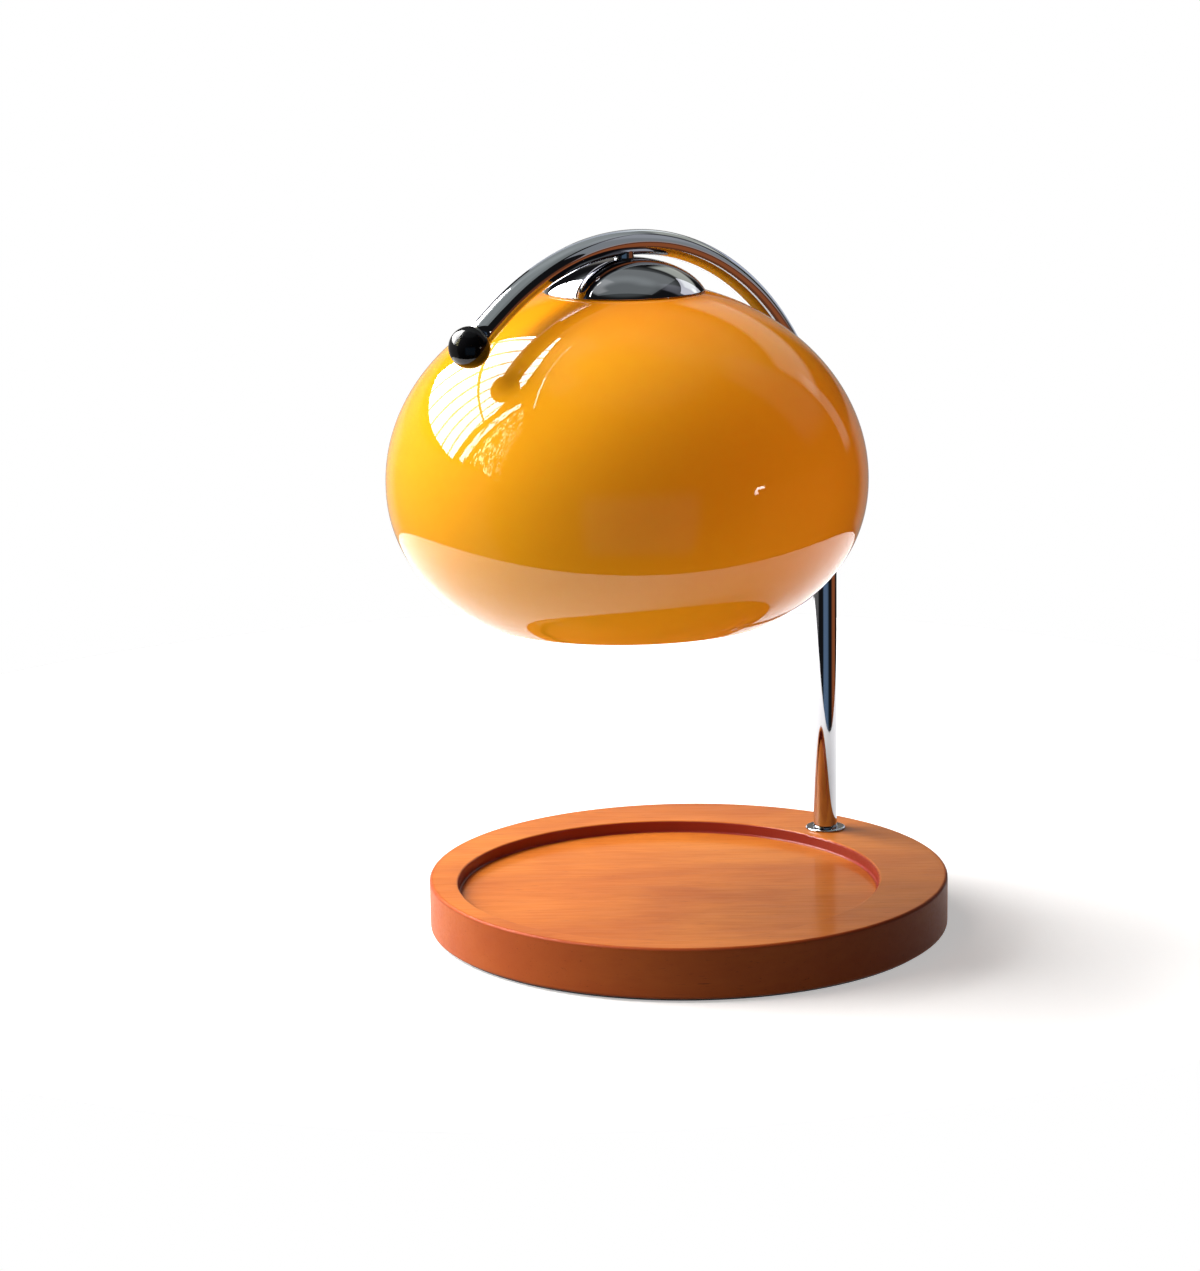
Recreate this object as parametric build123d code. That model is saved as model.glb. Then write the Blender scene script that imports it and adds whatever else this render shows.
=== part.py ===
from build123d import *
from math import asin, cos, pi, radians, sin, sqrt
import os

# Candle warmer lamp. Millimetres, +Z up. The origin is on the table, under the
# centre of the round foot. The post stands at +Y, the shade hangs towards -Y.

# ---- wooden foot ----
base_r = 106.5          # radius of the foot
pad_t = 1.0             # anti-slip pad under it
base_t = 20.5           # thickness of the wood
tray_r = 86.0           # candle tray turned into the top
tray_y = -12.0          # the tray sits forward of the foot's centre
tray_depth = 5.0
top_z = pad_t + base_t
tray_z = top_z - tray_depth
pad_r = 104.2
edge_round = 1.2

# ---- post and arm: one bent tube ----
post_y = 87.0
tube_r = 5.0
tube_in_r = 4.0
arc_r = 120.0           # centreline radius of the bend over the shade
arc_z = 162.5           # where the post ends and the bend starts
tail_deg = 35.0         # how far past the crown the bend runs
tail_len = 18.3         # from the end of the bend to the ball's centre
ball_r = 8.0
tube_foot_z = 8.8       # lower mouth of the tube, inside the foot
axis_y = post_y - arc_r # the shade's own axis
crown_z = arc_z + arc_r

# ---- fixing of the post through the wood ----
seat_z = 15.0           # ceiling of the nut pocket
post_clear = 0.05       # running clearance of the tube in the wood, on radius
nut_pocket_r = 8.4
flange_r = 8.5
flange_h = 1.0

# ---- wiring pocket, cover and inlet ----
cover_t = 1.0
cover_z = pad_t + cover_t
cover_x = 24.0
cover_y0 = 42.0
cover_arc_r = 99.8
pocket_x = 16.0
pocket_y0 = 50.0
pocket_arc_r = 96.9
pocket_z = 11.0
inlet_z = 9.0
gland_face_y = 105.5    # flat spot face that the gland's flange rests on
inlet_r = 4.2           # hole in the wood for the gland's stem
gland_bore_r = 3.1      # takes a round two-core cord up to 6 mm
gland_flange_r = 5.4
screw_xy = [(-20, 47), (20, 47), (-20, 87.5), (20, 87.5)]

# ---- glass shade ----
shade_a = 95.2          # greatest radius
shade_eq_z = 189.6      # height of the greatest radius
shade_up = 78.2         # semi-height of the upper half (an ellipse)
shade_dn = 67.6         # semi-height of the lower half before it is cut off
shade_n = 2.15          # exponent of the lower half
shade_open_z = 135.7
shade_hole_r = 20.0     # hole in the crown of the glass
glass_t = 2.6

# ---- cap and hanger ----
cap_r = 31.5
cap_rim_z = 264.0
cap_top_z = 277.0
cap_bulge = 33.2        # horizontal semi-axis of the ellipse that the dome is cut from
cap_t = 0.8
nip_r = 4.0             # M8x1 hollow threaded stud
nip_in_r = 2.5
nip_end_z = 246.5
clamp_z = 258.7         # top of the clamp plate inside the glass
clamp_t = 1.2
clamp_r = 27.0
nut_af = 13.0           # across the flats of both hanger nuts
bracket_t = 1.2

# ---- lamp holder and GU10 reflector lamp ----
holder_r = 13.5
holder_z1 = 238.0
holder_z0 = 222.0
holder_split_z = 232.0  # the ceramic body below, its back plate above
pin_pitch_r = 5.0       # two pins 10 mm apart
pin_r = 1.5
head_r = 2.45
twist_deg = 22.0        # turn between the entry holes and the locked place
lens_z = 175.0
lamp_r = 25.3

# ---- leads ----
lead_r = 1.6
core_r = 0.75
lead_bend = 6.0
foot_bend = 4.5


def turned(points, y=0.0):
    """Solid of revolution about the vertical line at (0, y) from a closed (radius, height) outline."""
    wire = Polyline(*[(r, 0, z) for r, z in points], close=True)
    return Pos(0, y, 0) * revolve(make_face(wire.edges()), Axis.Z, 360)


def rod(r, z0, z1, x=0.0, y=0.0):
    return Pos(x, y, z0) * Cylinder(r, z1 - z0, align=(Align.CENTER, Align.CENTER, Align.MIN))


def ring(r_out, r_in, z0, z1, x=0.0, y=0.0):
    return rod(r_out, z0, z1, x, y) - rod(r_in, z0 - 1, z1 + 1, x, y)


def block(x0, x1, y0, y1, z0, z1):
    return Pos((x0 + x1) / 2, (y0 + y1) / 2, (z0 + z1) / 2) * Box(x1 - x0, y1 - y0, z1 - z0)


def hexagon(af, bore_r, z0, z1, x=0.0, y=0.0, turn=0.0):
    """Hexagon nut with both faces chamfered at the corners."""
    body = extrude(Pos(x, y, z0) * (RegularPolygon(af / 2, 6, major_radius=False, rotation=turn)), z1 - z0)
    c = af / 2 / cos(pi / 6)
    h = z1 - z0
    lens = turned([(0, 0), (af / 2 * 0.97, 0), (c + 0.05, 0.55), (c + 0.05, h - 0.55), (af / 2 * 0.97, h), (0, h)])
    return (body & (Pos(x, y, z0) * lens)) - rod(bore_r, z0 - 1, z1 + 1, x, y)


def along(path, r):
    """Round bar of radius r along a path that starts at a known place and direction."""
    start, d = path @ 0, path % 0
    return sweep(Plane(origin=start, z_dir=d) * Circle(r), path=path)


def group(*solids):
    """Separate solids that share one node."""
    out = []
    for s in solids:
        out += s.solids()
    return Compound(children=out)


nodes = {}

# ======================= glass shade =======================


def shade_outer():
    """Outer profile of the glass from the crown hole to the opening, as (radius, height, normal)."""
    pts = []
    t0 = asin(shade_hole_r / shade_a)
    for i in range(15):
        t = t0 + (pi / 2 - t0) * i / 14
        r, z = shade_a * sin(t), shade_up * cos(t)
        n = (r / shade_a**2, z / shade_up**2)
        pts.append((r, shade_eq_z + z, n))
    zend = shade_eq_z - shade_open_z
    tend = asin((zend / shade_dn) ** (shade_n / 2))
    for i in range(1, 13):
        t = tend * i / 12
        r = shade_a * cos(t) ** (2 / shade_n)
        z = -shade_dn * sin(t) ** (2 / shade_n)
        n = (
            (r / shade_a) ** (shade_n - 1) / shade_a,
            -((-z / shade_dn) ** (shade_n - 1)) / shade_dn,
        )
        pts.append((r, shade_eq_z + z, n))
    return pts


profile = shade_outer()
outer_pts, inner_pts, mids = [], [], []
for r, z, (nr, nz) in profile:
    k = sqrt(nr * nr + nz * nz)
    nr, nz = nr / k, nz / k
    outer_pts.append((r, 0, z))
    inner_pts.append((r - glass_t * nr, 0, z - glass_t * nz))
# the lower edge is fire-polished: a half round across the wall
ro, _, zo = outer_pts[-1]
ri, _, zi = inner_pts[-1]
nr, nz = profile[-1][2]
k = sqrt(nr * nr + nz * nz)
tx, tz = nz / k, -nr / k
tip = ((ro + ri) / 2 + tx * glass_t / 2, 0, (zo + zi) / 2 + tz * glass_t / 2)
outer_edge = Spline(*outer_pts)
inner_edge = Spline(*inner_pts)
rim_edge = ThreePointArc(outer_pts[-1], tip, inner_pts[-1])
crown_edge = Line(inner_pts[0], outer_pts[0])
glass = Pos(0, axis_y, 0) * revolve(make_face([outer_edge, rim_edge, inner_edge, crown_edge]), Axis.Z, 360)
nodes["glass_shade"] = glass

# ======================= arm tube =======================
cy, cz = axis_y, arc_z
t = radians(tail_deg)
arc_start = (0, post_y, arc_z)
arc_mid = (0, cy + arc_r * sin(radians(27.5)), cz + arc_r * cos(radians(27.5)))
arc_end = (0, cy - arc_r * sin(t), cz + arc_r * cos(t))
tail_dir = Vector(0, -cos(t), -sin(t))
ball_c = Vector(*arc_end) + tail_dir * tail_len
flat = sqrt(ball_r**2 - tube_r**2)
tube_end = ball_c - tail_dir * flat
path = Wire(
    [
        Line((0, post_y, tube_foot_z), arc_start),
        ThreePointArc(arc_start, arc_mid, arc_end),
        Line(arc_end, tuple(tube_end)),
    ]
)
tube_solid = along(path, tube_r)
tube_hollow = along(path, tube_in_r)
tube = tube_solid - tube_hollow - rod(nip_in_r, crown_z - 9, crown_z, 0, axis_y)
nodes["arm_tube"] = tube

# ball, its threaded stud and the plug that takes the stud
ball = Pos(*ball_c) * Sphere(ball_r)
tail_plane = Plane(origin=ball_c, z_dir=-tail_dir)
ball -= tail_plane * (Pos(0, 0, flat + 5) * Cylinder(10, 10))
stud_len_in = 7.0
ball -= tail_plane * (Pos(0, 0, -1.5) * Cylinder(2.0, 20, align=(Align.CENTER, Align.CENTER, Align.MIN)))
nodes["ball_finial"] = ball
nodes["finial_stud"] = tail_plane * (
    Pos(0, 0, -1.5) * Cylinder(2.0, 1.5 + flat + stud_len_in, align=(Align.CENTER, Align.CENTER, Align.MIN))
)
plug = tail_plane * (Pos(0, 0, flat) * Cylinder(tube_in_r, 9.0, align=(Align.CENTER, Align.CENTER, Align.MIN)))
plug -= tail_plane * (Pos(0, 0, flat - 1) * Cylinder(2.0, 8.0, align=(Align.CENTER, Align.CENTER, Align.MIN)))
nodes["tube_plug"] = plug

# ======================= foot of the post =======================
fl = turned(
    [
        (tube_r, top_z),
        (flange_r, top_z),
        (flange_r, top_z + 0.45),
        (flange_r - 0.25, top_z + 0.8),
        (flange_r - 0.8, top_z + flange_h),
        (tube_r, top_z + flange_h),
    ],
    post_y,
)
nodes["post_flange"] = fl
nodes["friction_washer"] = ring(8.0, tube_r + 0.05, seat_z - 1.0, seat_z, 0, post_y)
spring = ring(7.4, tube_r + 0.05, seat_z - 2.0, seat_z - 1.0, 0, post_y)
spring -= Pos(6.2, post_y, seat_z - 1.5) * Rot(0, 0, 20) * Box(4, 0.9, 3)
nodes["spring_washer"] = spring
nodes["base_nut"] = hexagon(13.0, tube_r, seat_z - 5.5, seat_z - 2.0, 0, post_y)

# ======================= wooden foot =======================
base = rod(base_r, pad_t, top_z)
base = fillet(base.edges().filter_by(GeomType.CIRCLE), edge_round)
base -= rod(tray_r, tray_z, top_z + 5, 0, tray_y)
lip = [
    e
    for e in base.edges().filter_by(GeomType.CIRCLE)
    if abs(e.center().Z - top_z) < 0.01 and abs(e.radius - tray_r) < 0.01
]
base = fillet(lip, 0.9)
corner = [
    e
    for e in base.edges().filter_by(GeomType.CIRCLE)
    if abs(e.center().Z - tray_z) < 0.01 and abs(e.radius - tray_r) < 0.01
]
base = fillet(corner, 0.8)


def rear_d(x_half, y0, arc, z0, z1, corner_r):
    """A plate with straight front and sides and a rear edge that follows the foot's round."""
    rect = Pos(0, (y0 + 130) / 2) * Rectangle(2 * x_half, 130 - y0)
    face = rect & Circle(arc)
    face = fillet(face.vertices(), corner_r)
    return extrude(Pos(0, 0, z0) * face, z1 - z0)


base -= rear_d(cover_x + 0.2, cover_y0 - 0.2, cover_arc_r + 0.2, pad_t - 1, cover_z, 4.2)
base -= rear_d(pocket_x, pocket_y0, pocket_arc_r, cover_z - 1, pocket_z, 4.0)
base -= rod(nut_pocket_r, cover_z - 1, seat_z, 0, post_y)
base -= rod(tube_r + post_clear, seat_z - 1, top_z + 5, 0, post_y)
# cord inlet at the back, with a flat spot face for the gland
base -= Pos(0, 120, inlet_z) * Rot(90, 0, 0) * Cylinder(inlet_r, 60)
base -= Pos(0, gland_face_y + 10, inlet_z) * Rot(90, 0, 0) * Cylinder(gland_flange_r + 0.1, 20)

# ======================= screws and cover =======================


def csk_screw(x, y, z_head, length, r=1.25, head=2.8):
    """Countersunk cross-head wood screw, head down, shank pointing up."""
    body = turned(
        [
            (0, 0),
            (head, 0),
            (head, 0.15),
            (r, 0.15 + head - r),
            (r, length - 2.0),
            (0.25, length),
            (0, length),
        ]
    )
    body -= Box(3.0, 0.6, 1.9) + Box(0.6, 3.0, 1.9)
    return Pos(x, y, z_head) * body


cover = rear_d(cover_x, cover_y0, cover_arc_r, pad_t, cover_z, 4.0)
cover_screw_list = [csk_screw(x, y, pad_t, 10.0) for x, y in screw_xy]
solid_screws = [
    Pos(x, y, pad_t) * turned([(0, -1), (2.8, -1), (2.8, 0.15), (1.25, 1.7), (1.25, 8.0), (0.25, 10.0), (0, 10.0)])
    for x, y in screw_xy
]
for s in solid_screws:
    cover -= s
    base -= s
nodes["bottom_cover"] = cover
nodes["cover_screws"] = group(*cover_screw_list)

# gland: rubber bush with a flange outside
gland = turned(
    [
        (gland_bore_r, 0),
        (inlet_r, 0),
        (inlet_r, 8.4),
        (gland_flange_r, 8.4),
        (gland_flange_r, 9.9),
        (gland_flange_r - 0.9, 10.8),
        (gland_bore_r + 0.6, 10.8),
        (gland_bore_r, 10.3),
    ]
)
nodes["cord_gland"] = Pos(0, gland_face_y - 8.4, inlet_z) * Rot(-90, 0, 0) * gland

# terminal block against the pocket's ceiling
tb_y0, tb_y1, tb_z0 = 53.0, 67.0, 3.6
wire_z, wire_x = 6.3, 4.2
tb = block(-8.2, 8.2, tb_y0, tb_y1, tb_z0, pocket_z)
tb = fillet(tb.edges().filter_by(Axis.Z), 1.0)
sleeves, tscrews = [], []
for sx in (-wire_x, wire_x):
    hole = Pos(sx, (tb_y0 + tb_y1) / 2, wire_z) * Rot(90, 0, 0) * Cylinder(2.0, 30)
    tb -= hole
    sleeve = Pos(sx, (tb_y0 + tb_y1) / 2, wire_z) * Rot(90, 0, 0) * (Cylinder(2.0, 12.4) - Cylinder(1.0, 30))
    for sy in (tb_y0 + 3.2, tb_y1 - 3.2):
        s = rod(1.2, tb_z0 + 0.2, wire_z - core_r, sx, sy)
        tb -= rod(1.2, tb_z0 - 1, wire_z, sx, sy)
        sleeve -= rod(1.2, tb_z0 - 1, wire_z, sx, sy)
        tscrews.append(s - (Pos(sx, sy, tb_z0 + 0.2) * Box(2.0, 0.4, 0.9)))
    sleeves.append(sleeve)
block_screw = Pos(0, (tb_y0 + tb_y1) / 2, tb_z0) * turned(
    [(0, 0), (2.0, 0), (2.0, 1.3), (1.1, 1.3), (1.1, 9.4), (0.2, 10.7), (0, 10.7)]
)
tb -= rod(2.0, tb_z0 - 1, tb_z0 + 1.3, 0, 60) + rod(1.1, tb_z0, 12, 0, 60)
base -= Pos(0, 60, tb_z0) * turned([(0, 1.3), (1.1, 1.3), (1.1, 9.4), (0.2, 10.7), (0, 10.7)])
block_screw -= Pos(0, 60, tb_z0) * (Box(2.6, 0.5, 1.0) + Box(0.5, 2.6, 1.0))
nodes["terminal_block"] = tb
nodes["terminal_sleeves"] = group(*sleeves)
nodes["terminal_screws"] = group(*tscrews)
nodes["block_screw"] = block_screw
nodes["wood_base"] = base

# pad under the foot, cut out round the cover
pad = rod(pad_r, 0, pad_t)
pad -= rear_d(cover_x + 0.6, cover_y0 - 0.6, cover_arc_r + 0.6, -1, pad_t + 1, 4.6)
nodes["base_pad"] = pad

# lead from the tube's mouth to the terminal block
low_z = tube_foot_z - foot_bend
p1 = (0, post_y, tube_foot_z)
c1 = (post_y - foot_bend, tube_foot_z)
pm = (0, c1[0] + foot_bend * cos(radians(45)), c1[1] - foot_bend * sin(radians(45)))
p2 = (0, post_y - foot_bend, low_z)
p3 = (0, 74.0, low_z)
nodes["base_lead"] = along(Wire([ThreePointArc(p1, pm, p2), Line(p2, p3)]), lead_r)
cores = []
for s in (-1, 1):
    pts = [(s * 0.78, 74.0, low_z), (s * 0.78, 72.6, low_z), (s * wire_x, 69.0, wire_z), (s * wire_x, tb_y0 + 4.6, wire_z)]
    cores.append(along(FilletPolyline(*pts, radius=1.4), core_r))
nodes["block_leads"] = group(*cores)

# ======================= lead inside the arm =======================
s_a = lead_bend / (arc_r - lead_bend)
a_end = asin(s_a)
e1 = (0, cy + arc_r * sin(a_end), cz + arc_r * cos(a_end))
cb = (cy + (arc_r - lead_bend) * sin(a_end), cz + (arc_r - lead_bend) * cos(a_end))
m_ang = radians(135)
em = (0, cb[0] + lead_bend * cos(m_ang), cb[1] + lead_bend * sin(m_ang))
e2 = (0, cb[0] - lead_bend, cb[1])
mid_a = (pi / 2 + a_end) / 2
amid = (0, cy + arc_r * sin(mid_a), cz + arc_r * cos(mid_a))
sheath_end = 245.2
lead_path = Wire(
    [
        Line((0, post_y, tube_foot_z), arc_start),
        ThreePointArc(arc_start, amid, e1),
        ThreePointArc(e1, em, e2),
        Line(e2, (0, axis_y, sheath_end)),
    ]
)
nodes["arm_lead"] = along(lead_path, lead_r)

# ======================= hanger, cap and clamp =======================
nip = rod(nip_r, nip_end_z, crown_z - 0.6, 0, axis_y) - tube_solid - rod(nip_in_r, nip_end_z - 1, crown_z + 2, 0, axis_y)
nodes["hanger_nipple"] = nip

dome_k = sqrt(1 - (cap_r / cap_bulge) ** 2)
dome_b = (cap_top_z - cap_rim_z) / (1 - dome_k)
dome_c = cap_top_z - dome_b


def dome_z(r, inset=0.0):
    """Height of the dome's face at radius r: the outer face, or one set in by inset."""
    return dome_c + (dome_b - inset) * sqrt(1 - (r / (cap_bulge - inset)) ** 2)


def dome_r(z, inset=0.0):
    return (cap_bulge - inset) * sqrt(1 - ((z - dome_c) / (dome_b - inset)) ** 2)


def dome_curve(inset, r_end):
    steps = 12
    radii = [hole + (r_end - hole) * sin(pi / 2 * i / steps) for i in range(steps)] + [r_end]
    return [(r, 0, dome_z(r, inset)) for r in radii[:-1]] + [(r_end, 0, cap_rim_z)]


hole = nip_r + 0.05
outer_dome = dome_curve(0.0, cap_r)
inner_dome = dome_curve(cap_t, dome_r(cap_rim_z, cap_t))
cap_face = make_face(
    [
        Spline(*outer_dome),
        Line(outer_dome[-1], inner_dome[-1]),
        Spline(*inner_dome[::-1]),
        Line(inner_dome[0], outer_dome[0]),
    ]
)
cap = Pos(0, axis_y, 0) * revolve(cap_face, Axis.Z, 360)
nodes["top_cap"] = cap

gasket = ring(30.4, 28.0, 262.0, 265.0, 0, axis_y) - cap - glass
keep = [s for s in gasket.solids() if s.center().Z > 263.0]
nodes["cap_gasket"] = max(keep, key=lambda s: s.volume)

collar = ring(hole + 3.2, nip_r + 0.05, clamp_z, dome_z(hole + 3.2, cap_t) - 0.3, 0, axis_y)
nodes["spacer_collar"] = collar

sg = ring(clamp_r, shade_hole_r + 0.6, clamp_z, 263.2, 0, axis_y) - glass
nodes["shade_gasket"] = max([s for s in sg.solids() if s.center().Z < 263.0], key=lambda s: s.volume)

plate = ring(clamp_r, nip_r + 0.05, clamp_z - clamp_t, clamp_z, 0, axis_y)
for i in range(6):
    a = radians(60 * i + 30)
    plate -= rod(2.6, clamp_z - 5, clamp_z + 5, 15.5 * cos(a), axis_y + 15.5 * sin(a))
nodes["clamp_plate"] = plate

n1 = clamp_z - clamp_t
nodes["nipple_nut"] = hexagon(nut_af, nip_r, n1 - 5.0, n1, 0, axis_y)
b1 = n1 - 5.0
b0 = b1 - bracket_t

# U-shaped bracket between the hanger and the lamp holder
foot_z = holder_z1 + bracket_t
u = block(-13.2, 13.2, axis_y - 6, axis_y + 6, b0, b1)
u += block(-13.2, -12.0, axis_y - 6, axis_y + 6, holder_z1, b1)
u += block(12.0, 13.2, axis_y - 6, axis_y + 6, holder_z1, b1)
bend_edges = [e for e in u.edges().filter_by(Axis.Y) if abs(abs(e.center().X) - 13.2) < 0.01 and abs(e.center().Z - b1) < 0.01]
u = fillet(bend_edges, 1.6)
u += block(-13.2, -6.4, axis_y - 6, axis_y + 6, holder_z1, foot_z)
u += block(6.4, 13.2, axis_y - 6, axis_y + 6, holder_z1, foot_z)
u -= rod(nip_r + 0.05, b0 - 1, b1 + 1, 0, axis_y)
u -= rod(1.35, holder_z1 - 1, foot_z + 1, -9, axis_y) + rod(1.35, holder_z1 - 1, foot_z + 1, 9, axis_y)
nodes["holder_bracket"] = u
nodes["bracket_nut"] = hexagon(nut_af, nip_r, b0 - 3.6, b0, 0, axis_y, 15)


def pan_screw(x, y, z_seat, length):
    """Cross-head pan screw, head up on z_seat, shank pointing down."""
    s = turned(
        [
            (0, -length),
            (1.25, -length + 0.4),
            (1.25, 0),
            (2.5, 0),
            (2.5, 0.9),
            (1.9, 1.6),
            (0, 1.8),
        ]
    )
    s -= Pos(0, 0, 1.8) * (Box(2.6, 0.5, 1.8) + Box(0.5, 2.6, 1.8))
    return Pos(x, y, z_seat) * s


nodes["holder_screws"] = group(pan_screw(-9, axis_y, foot_z, 10.2), pan_screw(9, axis_y, foot_z, 10.2))

# ======================= lamp holder =======================
hold = turned(
    [
        (0, holder_z0),
        (holder_r - 0.8, holder_z0),
        (holder_r, holder_z0 + 0.8),
        (holder_r, holder_split_z - 0.7),
        (holder_r - 0.7, holder_split_z),
        (0, holder_split_z),
    ],
    axis_y,
)
back = turned(
    [
        (0, holder_split_z),
        (holder_r - 0.7, holder_split_z),
        (holder_r - 0.7, holder_z1 - 0.8),
        (holder_r - 1.5, holder_z1),
        (0, holder_z1),
    ],
    axis_y,
)
slot_floor = holder_z0 + 3.5
cavity_top = holder_split_z
for base_ang in (90.0, 270.0):
    arc = CenterArc((0, 0), pin_pitch_r, base_ang - twist_deg, twist_deg)
    ex, ey = pin_pitch_r * cos(radians(base_ang - twist_deg)), pin_pitch_r * sin(radians(base_ang - twist_deg))
    slot = extrude(Pos(0, axis_y, holder_z0 - 1) * SlotArc(arc, 2 * (pin_r + 0.25)), slot_floor - holder_z0 + 2)
    entry = rod(head_r + 0.35, holder_z0 - 1, slot_floor + 1, ex, axis_y + ey)
    cavity = extrude(Pos(0, axis_y, slot_floor) * SlotArc(arc, 2 * (head_r + 0.4)), cavity_top - slot_floor)
    hold -= slot + entry
    hold -= cavity
    y = axis_y + pin_pitch_r * sin(radians(base_ang))
    back -= rod(1.0, cavity_top - 1, holder_z1 + 1, 0, y)
for x in (-9, 9):
    shank = Pos(x, axis_y, foot_z) * turned([(0, -10.2), (1.25, -9.8), (1.25, 1), (0, 1)])
    hold -= shank
    back -= shank
nodes["lamp_holder"] = hold
nodes["holder_back"] = back

head_top = slot_floor + 0.4 + 3.1
contacts = []
wires = []
for s in (-1, 1):
    y = axis_y + s * pin_pitch_r
    contacts.append(
        (block(-1.9, 1.9, y - 2.0, y + 2.0, cavity_top - 0.8, cavity_top) + rod(1.4, head_top + 0.05, cavity_top - 0.4, 0, y))
    )
    pts = [
        (0, axis_y + s * 0.78, sheath_end),
        (0, axis_y + s * 0.78, sheath_end - 1.4),
        (0, y, holder_z1 + 2.0),
        (0, y, cavity_top),
    ]
    wires.append(along(FilletPolyline(*pts, radius=1.4), core_r))
nodes["socket_contacts"] = group(*contacts)
nodes["holder_leads"] = group(*wires)

# ======================= reflector lamp =======================
lb = turned(
    [
        (0, 213.0),
        (5.2, 213.0),
        (5.2, 208.0),
        (12.2, 208.0),
        (12.2, 210.5),
        (13.0, 212.5),
        (13.0, 219.6),
        (12.2, 220.4),
        (12.2, 221.4),
        (11.6, holder_z0 - 0.3),
        (0, holder_z0 - 0.3),
    ],
    axis_y,
)
pins = []
for s in (-1, 1):
    y = axis_y + s * pin_pitch_r
    lb -= rod(pin_r, 216.0, holder_z0 + 1, 0, y)
    pins.append(rod(pin_r, 216.0, slot_floor + 0.5, 0, y) + rod(head_r, slot_floor + 0.4, head_top, 0, y))
nodes["bulb_base"] = lb
nodes["bulb_pins"] = group(*pins)

refl_out, refl_in = [], []
z_top, z_bot = 208.0, 179.0
for i in range(9):
    q = i / 8
    z = z_top + (z_bot - z_top) * q
    r = sqrt(12.2**2 + (lamp_r**2 - 12.2**2) * q**0.85)
    refl_out.append((r, 0, z))
for i in range(8):
    q = i / 7
    z = z_top - 1.6 + (z_bot - 1.2 - z_top + 1.6) * q
    r = sqrt(10.4**2 + ((lamp_r - 1.8) ** 2 - 10.4**2) * q**0.85)
    refl_in.append((r, 0, z))
refl_edges = [
    Spline(*refl_out),
    Line(refl_out[-1], (lamp_r, 0, lens_z)),
    Line((lamp_r, 0, lens_z), (lamp_r - 1.2, 0, lens_z)),
    Line((lamp_r - 1.2, 0, lens_z), (lamp_r - 1.2, 0, lens_z + 2.8)),
    Line((lamp_r - 1.2, 0, lens_z + 2.8), refl_in[-1]),
    Spline(*refl_in),
    Line(refl_in[0], (5.0, 0, refl_in[0][2])),
    Line((5.0, 0, refl_in[0][2]), (5.0, 0, z_top)),
    Line((5.0, 0, z_top), refl_out[0]),
]
nodes["bulb_reflector"] = Pos(0, axis_y, 0) * revolve(make_face(refl_edges), Axis.Z, 360)
lens = turned(
    [
        (0, lens_z + 0.2),
        (lamp_r - 2.4, lens_z + 0.2),
        (lamp_r - 1.2, lens_z + 0.9),
        (lamp_r - 1.2, lens_z + 2.8),
        (0, lens_z + 2.8),
    ],
    axis_y,
)
nodes["bulb_lens"] = lens
cap_pts = [
    ThreePointArc((0, 0, 185.0), (4.2 * sin(radians(45)), 0, 189.2 - 4.2 * cos(radians(45))), (4.2, 0, 189.2)),
    Line((4.2, 0, 189.2), (4.2, 0, 203.0)),
    Line((4.2, 0, 203.0), (3.0, 0, 205.0)),
    Line((3.0, 0, 205.0), (0, 0, 205.0)),
    Line((0, 0, 205.0), (0, 0, 185.0)),
]
capsule = Pos(0, axis_y, 0) * revolve(make_face(cap_pts), Axis.Z, 360)
capsule += block(-4.2, 4.2, axis_y - 1.5, axis_y + 1.5, 203.5, 213.0)
nodes["bulb_capsule"] = capsule

# ======================= write =======================
os.makedirs("parts", exist_ok=True)
for name, shape in nodes.items():
    export_step(shape, f"parts/{name}.step")
    print(name, round(sum(s.volume for s in shape.solids()), 2), len(shape.solids()))
arm_len = (arc_z - tube_foot_z) + arc_r * (pi / 2 + t) + tail_len - flat
print("tube length", round(arm_len, 2), "volume", round(tube_solid.volume, 1), "want", round(arm_len * pi * tube_r**2, 1))
lead_len = (arc_z - tube_foot_z) + arc_r * (pi / 2 - a_end) + lead_bend * (pi / 2 + a_end) + (cb[1] - sheath_end)
print("arm lead length", round(lead_len, 2), "volume", round(nodes["arm_lead"].volume, 1), "want", round(lead_len * pi * lead_r**2, 1))
print("ball centre", ball_c, "tube end", tube_end)
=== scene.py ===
import bpy, bmesh, math
from mathutils import Vector, Matrix
from math import asin, cos, pi, radians, sin, sqrt


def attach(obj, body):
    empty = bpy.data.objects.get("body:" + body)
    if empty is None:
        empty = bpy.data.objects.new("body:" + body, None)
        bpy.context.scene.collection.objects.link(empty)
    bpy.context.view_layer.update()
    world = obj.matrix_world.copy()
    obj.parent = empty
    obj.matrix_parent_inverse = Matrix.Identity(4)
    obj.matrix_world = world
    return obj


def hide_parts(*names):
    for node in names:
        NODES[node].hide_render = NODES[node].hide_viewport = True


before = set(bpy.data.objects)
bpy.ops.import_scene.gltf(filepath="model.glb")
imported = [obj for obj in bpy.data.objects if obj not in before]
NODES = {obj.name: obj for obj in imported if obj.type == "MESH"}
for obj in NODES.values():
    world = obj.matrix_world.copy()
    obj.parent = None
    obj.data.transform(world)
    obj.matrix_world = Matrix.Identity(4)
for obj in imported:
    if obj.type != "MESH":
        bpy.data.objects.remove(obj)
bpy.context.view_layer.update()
scene = bpy.context.scene
MM = 0.001

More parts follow.
